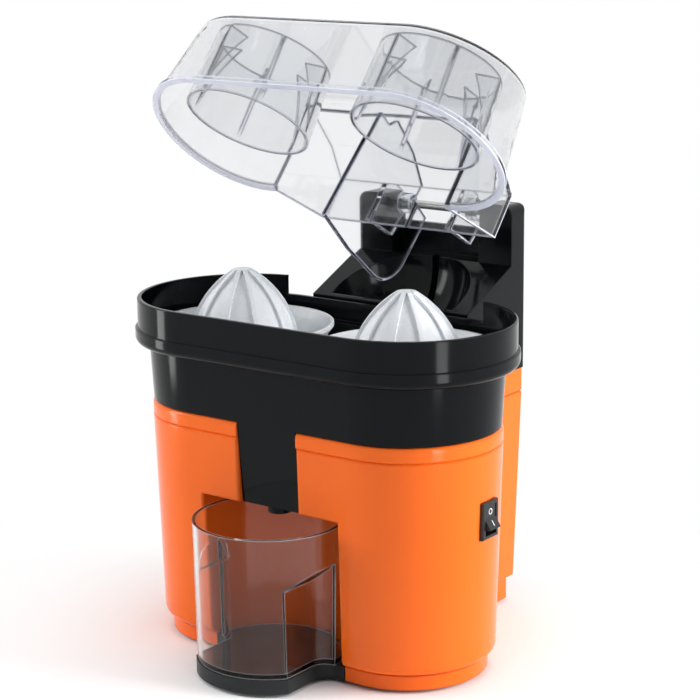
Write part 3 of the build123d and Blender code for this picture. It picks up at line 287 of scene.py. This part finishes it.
def metal(name, color, rough, stretch):
    """Turned or drawn metal with fine lines along one way."""
    material, tree, shader = new_material(name)
    lines = noise(tree, **DRAWN_LINES, stretch=stretch)
    link(tree, ramp(tree, lines, *swing(color, METAL_SPAN)), shader.inputs["Base Color"])
    link(tree, ramp(tree, lines, *swing(rough, METAL_ROUGH_SPAN)), shader.inputs["Roughness"])
    bump(tree, shader, lines, *LINE_RELIEF)
    shader.inputs["Metallic"].default_value = 1.0
    return material


def painted_edge_light_mask(tree, radius):
    """Where painted edge light goes: 0 on open faces, rising to 1 beside the solid's sharp edges."""
    eased = tree.nodes.new("ShaderNodeBevel")
    eased.samples = MASK_SAMPLES
    eased.inputs["Radius"].default_value = radius
    true = tree.nodes.new("ShaderNodeNewGeometry")
    dot = tree.nodes.new("ShaderNodeVectorMath")
    dot.operation = "DOT_PRODUCT"
    link(tree, eased.outputs["Normal"], dot.inputs[0])
    link(tree, true.outputs["Normal"], dot.inputs[1])
    spread = tree.nodes.new("ShaderNodeMapRange")
    spread.interpolation_type = "SMOOTHSTEP"
    for socket, cosine in zip(("From Min", "From Max"), MASK_COSINES):
        spread.inputs[socket].default_value = cosine
    link(tree, dot.outputs["Value"], spread.inputs["Value"])
    return spread.outputs["Result"]


def painted_rim_light_mask(tree, slope, depth):
    """1 on one plane of the lid's open rim, which lies at a slope and depth below the hinge pin,
    where painted edge light covers the rim face in place of the light it catches.
    """
    where = tree.nodes.new("ShaderNodeTexCoord")
    offset = tree.nodes.new("ShaderNodeVectorMath")
    offset.operation = "SUBTRACT"
    offset.inputs[1].default_value = HINGE
    link(tree, where.outputs["Object"], offset.inputs[0])
    below = tree.nodes.new("ShaderNodeVectorMath")
    below.operation = "DOT_PRODUCT"
    turn = slope - LID_OPEN
    below.inputs[1].default_value = (0.0, math.sin(turn), -math.cos(turn))
    link(tree, offset.outputs["Vector"], below.inputs[0])
    on_rim = tree.nodes.new("ShaderNodeMath")
    on_rim.operation = "COMPARE"
    on_rim.inputs[1].default_value = depth
    on_rim.inputs[2].default_value = RIM_SLACK
    link(tree, below.outputs["Value"], on_rim.inputs[0])
    return on_rim.outputs["Value"]


def clear(name, face=FACE_TINT, edge=PAINTED_EDGE_LIGHT, edge_radius=0.002, density=7.0, ior=1.45,
          rough=0.02, edge_light_clearness=0.12, rim_planes=()):
    """Clear moulded plastic: faintly tinted faces, painted edge light along the edges (a lavender
    colour and less transmission in place of the light they catch) and slight flow marks.
    """
    material, tree, shader = new_material(name)
    edge_light_mask = painted_edge_light_mask(tree, edge_radius)
    # Painted edge light also covers the lid's open rim face
    for slope, depth in rim_planes:
        edge_light_mask = combine(tree, "MAXIMUM", edge_light_mask, painted_rim_light_mask(tree, slope, depth))
    drift = noise(tree, **CLEAR_DRIFT)
    # Painted edge light: the edge colour and lower transmission where the mask rises, standing in
    # for light caught at edges and on the rim
    tint_and_edge_light = tree.nodes.new("ShaderNodeMix")
    tint_and_edge_light.data_type = "RGBA"
    link(tree, edge_light_mask, tint_and_edge_light.inputs["Factor"])
    link(tree, ramp(tree, drift, *swing(face, FACE_SPAN)), tint_and_edge_light.inputs[MIX_FIRST])
    link(tree, ramp(tree, drift, *swing(edge, EDGE_SPAN)), tint_and_edge_light.inputs[MIX_SECOND])
    link(tree, tint_and_edge_light.outputs[MIX_RESULT], shader.inputs["Base Color"])
    clearness = ramp(tree, edge_light_mask, 1.0, edge_light_clearness, 0.0, 1.0)
    link(tree, clearness, shader.inputs["Transmission Weight"])
    body = tree.nodes.new("ShaderNodeVolumeAbsorption")
    body.inputs["Color"].default_value = (*DEPTH_TINT, 1.0)
    body.inputs["Density"].default_value = density
    link(tree, body.outputs["Volume"], tree.nodes["Material Output"].inputs["Volume"])
    rubbed = ramp(tree, noise(tree, **CLEAR_RUBBED), *swing(rough, CLEAR_ROUGH_SPAN))
    link(tree, rubbed, shader.inputs["Roughness"])
    bump(tree, shader, noise(tree, **FLOW_MARKS), *FLOW_RELIEF)
    shader.inputs["IOR"].default_value = ior
    return material


finishes = {
    "orange_plastic": moulded("orange_plastic", ORANGE, rough=0.15, spread=0.03, gloss=0.24,
                              edge=0.0015),
    "black_plastic": moulded("black_plastic", BLACK, rough=0.11, spread=0.1, gloss=0.13, edge=0.001),
    "clear_plastic": clear("clear_plastic"),
    "white_plastic": milky("white_plastic", WHITE, rough=0.28),
    "dark_base": moulded("dark_base", DARK_GREY, rough=0.42, spread=0.12, strength=0.3,
                         grain_depth=0.00005, gloss=0.2),
    "gear_plastic": moulded("gear_plastic", NYLON, rough=0.4),
    "steel": metal("steel", STEEL, rough=0.2, stretch=(40, 1, 1)),
    "plated_steel": metal("plated_steel", ZINC, rough=0.35, stretch=(1, 12, 1)),
    "laminations": metal("laminations", IRON, rough=0.5, stretch=(1, 1, 120)),
    "copper": metal("copper", COPPER, rough=0.32, stretch=(1, 1, 60)),
    "bronze": metal("bronze", BRONZE, rough=0.4, stretch=(1, 1, 20)),
    "carbon": moulded("carbon", CARBON, rough=0.7, strength=0.5),
    "rubber": moulded("rubber", RUBBER, rough=0.75, strength=0.5, grain=500.0, grain_depth=0.0001),
    "switch_plastic": moulded("switch_plastic", SWITCH_BLACK, rough=0.38, strength=0.35,
                              grain_depth=0.00004),
}
# Nodes whose finish differs from the rest of their slot
special = {
    "lid": clear("lid_plastic", rim_planes=RIM_PLANES),
    "juice_cup": clear("cup_plastic", CUP_FACE_TINT, CUP_PAINTED_EDGE_LIGHT, edge_radius=0.0009,
                       density=10.0, ior=1.3, edge_light_clearness=0.5),
    "cutter_blade": clear("blade_plastic", edge=BLADE_PAINTED_EDGE_LIGHT, edge_radius=0.0018, rough=0.03),
}
for entry in subparts:
    node = nodes[entry["node"]]
    finish = special.get(entry["node"], finishes[entry["material_slot"]])
    node.data.materials.clear()
    node.data.materials.append(finish)

mark_paint = moulded("mark_paint", MARK_WHITE, rough=0.45, spread=0.04)


def rocker_face_matrix(sign):
    """Places local XY on the rocker's upper (+1) or lower (-1) face, Z outwards."""
    spin = Matrix.Rotation(ROCKER_TILT, 4, "Y")
    along = Vector((math.sin(ROCKER_SLOPE) * sign, 0, math.cos(ROCKER_SLOPE)))
    out = Vector((math.cos(ROCKER_SLOPE), 0, -math.sin(ROCKER_SLOPE) * sign))
    across = along.cross(out)
    centre = Vector((ROCKER_FACE, 0, 0)) + along * (MARK_OFFSET * sign)
    return Matrix.Translation(ROCKER_PIVOT) @ spin @ axes_matrix(across, along, out, centre)


def raised_mark(name, rings, matrix):
    """A thin raised plate between an outer ring of points and an optional inner ring."""
    mesh = bpy.data.meshes.new(name)
    shape = bmesh.new()
    loops = [[shape.verts.new((x, y, 0)) for x, y in ring] for ring in rings]
    if len(loops) == 1:
        faces = [shape.faces.new(loops[0])]
    else:
        outer, inner = loops
        follows = [(i, (i + 1) % len(outer)) for i in range(len(outer))]
        faces = [shape.faces.new((outer[i], outer[j], inner[j], inner[i])) for i, j in follows]
    raised = bmesh.ops.extrude_face_region(shape, geom=faces)
    lifted = [item for item in raised["geom"] if isinstance(item, bmesh.types.BMVert)]
    bmesh.ops.translate(shape, vec=(0, 0, MARK_HEIGHT), verts=lifted)
    bmesh.ops.recalc_face_normals(shape, faces=shape.faces)
    shape.transform(matrix)
    shape.to_mesh(mesh)
    shape.free()
    mesh.materials.append(mark_paint)
    piece = add_object(name, mesh)
    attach(piece, "rocker")


def seen_plainly(tree):
    """1 for rays that show the backdrop: from the camera, mirrored or through clear plastic."""
    rays = tree.nodes.new("ShaderNodeLightPath")
    total = rays.outputs["Is Camera Ray"]
    for kind in ("Is Glossy Ray", "Is Transmission Ray"):
        total = combine(tree, "ADD", total, rays.outputs[kind])
    return total


def mix_to_output(tree, factor, lit, white, output):
    """Sends a lit shader to the output, giving way to a white one by the factor."""
    mix = tree.nodes.new("ShaderNodeMixShader")
    link(tree, factor, mix.inputs["Fac"])
    link(tree, lit, mix.inputs[1])
    link(tree, white, mix.inputs[2])
    link(tree, mix.outputs["Shader"], tree.nodes[output].inputs["Surface"])


def make_floor():
    """Pale near the object, with its shadow, and plain white further off."""
    mesh = bpy.data.meshes.new("floor")
    corners = [(x, y, FLOOR_Z) for x, y in rectangle(FLOOR_HALF, FLOOR_HALF)]
    mesh.from_pydata(corners, [], [(0, 1, 2, 3)])
    floor = add_object("floor", mesh)
    material, tree, shader = new_material("floor")
    shader.inputs["Base Color"].default_value = (*FLOOR_COLOR, 1)
    shader.inputs["Roughness"].default_value = FLOOR_ROUGH
    shader.inputs["Specular IOR Level"].default_value = FLOOR_GLOSS
    where = tree.nodes.new("ShaderNodeTexCoord")
    length = tree.nodes.new("ShaderNodeVectorMath")
    length.operation = "LENGTH"
    link(tree, where.outputs["Object"], length.inputs[0])
    fade = tree.nodes.new("ShaderNodeMapRange")
    fade.interpolation_type = "SMOOTHSTEP"
    fade.inputs["From Min"].default_value = FADE_NEAR
    fade.inputs["From Max"].default_value = FADE_FAR
    link(tree, length.outputs["Value"], fade.inputs["Value"])
    faded = combine(tree, "MULTIPLY", fade.outputs["Result"], seen_plainly(tree))
    white = tree.nodes.new("ShaderNodeEmission")
    white.inputs["Strength"].default_value = 1.0
    mix_to_output(tree, faded, shader.outputs["BSDF"], white.outputs["Emission"], "Material Output")
    mesh.materials.append(material)


def make_world():
    """Soft studio: brighter overhead than at the sides, and white where it is seen."""
    world = bpy.data.worlds.new("studio")
    world.use_nodes = True
    tree = world.node_tree
    bpy.context.scene.world = world
    where = tree.nodes.new("ShaderNodeTexCoord")
    split = tree.nodes.new("ShaderNodeSeparateXYZ")
    link(tree, where.outputs["Generated"], split.inputs["Vector"])
    sky = tree.nodes["Background"]
    link(tree, ramp(tree, split.outputs["Z"], *SKY_LEVELS, *SKY_HEIGHTS), sky.inputs["Color"])
    sky.inputs["Strength"].default_value = 1.0
    white = tree.nodes.new("ShaderNodeBackground")
    white.inputs["Strength"].default_value = 1.0
    white.inputs["Color"].default_value = (1, 1, 1, 1)
    mix_to_output(tree, seen_plainly(tree), sky.outputs["Background"],
                  white.outputs["Background"], "World Output")


def softbox(name, place, aim, size, power):
    """A rectangular lamp turned to its aim, which lights the scene but isn't seen in it."""
    data = bpy.data.lights.new(name, "AREA")
    data.shape = "RECTANGLE"
    data.size, data.size_y = size
    data.energy = power
    lamp = add_object(name, data)
    lamp.location = place
    lamp.rotation_euler = (Vector(aim) - Vector(place)).to_track_quat("-Z", "Y").to_euler()
    lamp.visible_camera = False
    lamp.visible_glossy = False
    lamp.visible_transmission = False
    return lamp


def streak(name, place, aim, receivers):
    """A tall narrow lamp that only draws a streak on its glossy receivers."""
    lamp = softbox(name, place, aim, STREAK_SIZE, STREAK_POWER)
    lamp.visible_glossy = True
    lamp.visible_diffuse = False
    lamp.light_linking.receiver_collection = receivers


def streak_receivers():
    """The casing's nodes and the press cups, as a collection for the streak lamps."""
    receivers = bpy.data.collections.new("streak_receivers")
    for entry in subparts:
        if entry["material_slot"] in STREAK_SLOTS or entry["node"] in STREAK_NODES:
            receivers.objects.link(nodes[entry["node"]])
    return receivers


def make_camera():
    """The photograph's camera, with its small roll and off-centre axis."""
    azimuth, elevation, roll = (math.radians(v) for v in (AZIMUTH, ELEVATION, ROLL))
    level = math.cos(elevation)
    back = Vector((math.sin(azimuth) * level, -math.cos(azimuth) * level, math.sin(elevation)))
    right = Vector((0, 0, 1)).cross(back).normalized()
    up = back.cross(right)
    x_axis = right * math.cos(roll) + up * math.sin(roll)
    y_axis = up * math.cos(roll) - right * math.sin(roll)
    data = bpy.data.cameras.new("camera")
    data.sensor_width = SENSOR
    data.lens = FOCAL_PX / IMAGE_SIZE * SENSOR
    data.shift_x = -(CENTRE_PX[0] - IMAGE_SIZE / 2) / IMAGE_SIZE
    data.shift_y = (CENTRE_PX[1] - IMAGE_SIZE / 2) / IMAGE_SIZE
    camera = add_object("camera", data)
    camera.matrix_world = axes_matrix(x_axis, y_axis, back, (AIM + back * DISTANCE) * MM)
    bpy.context.scene.camera = camera


raised_mark("mark_off", [circle(radius) for radius in RING_RADII], rocker_face_matrix(1))
raised_mark("mark_on", [rectangle(*BAR_HALF)], rocker_face_matrix(-1))
make_floor()
make_world()
for lamp_name, values in SOFTBOXES.items():
    softbox(lamp_name, **values)
glossy_nodes = streak_receivers()
for lamp_name, values in STREAKS.items():
    streak(lamp_name, **values, receivers=glossy_nodes)
make_camera()
bpy.context.scene.view_settings.view_transform = "Standard"
